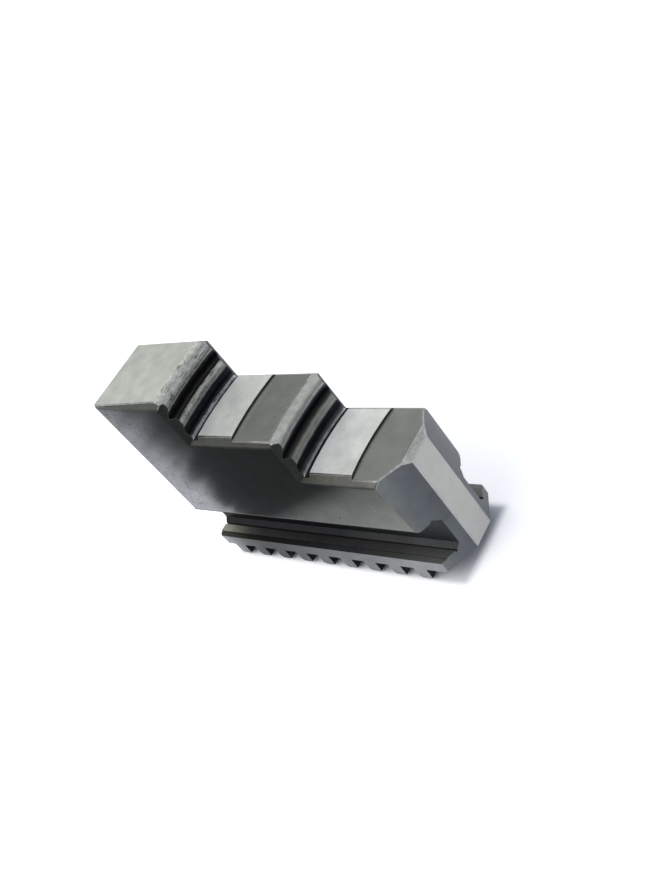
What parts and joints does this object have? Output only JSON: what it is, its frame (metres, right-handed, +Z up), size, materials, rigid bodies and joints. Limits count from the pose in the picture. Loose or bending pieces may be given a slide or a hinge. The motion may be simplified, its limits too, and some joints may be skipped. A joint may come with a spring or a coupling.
{
  "type": "reverse chuck jaw",
  "caption": "Solid steel reverse jaw for a lathe's scroll chuck, with stepped lands, ribbed gripping walls, side guide grooves and curved scroll teeth.",
  "frame": {"origin": "under the middle of the jaw's length and width, at the tips of its scroll teeth", "axes": "+X along the jaw to its pointed nose, which faces the centre of the chuck, +Y across it, +Z up from the scroll teeth to the gripping steps"},
  "size_m": [0.0944, 0.026, 0.07],
  "materials": {
    "jaw_steel": "hardened and ground steel, with darker matt stretches and dark machined grooves"
  },
  "bodies": {
    "root": {"jaw": "jaw_steel"}
  },
  "joints": []
}
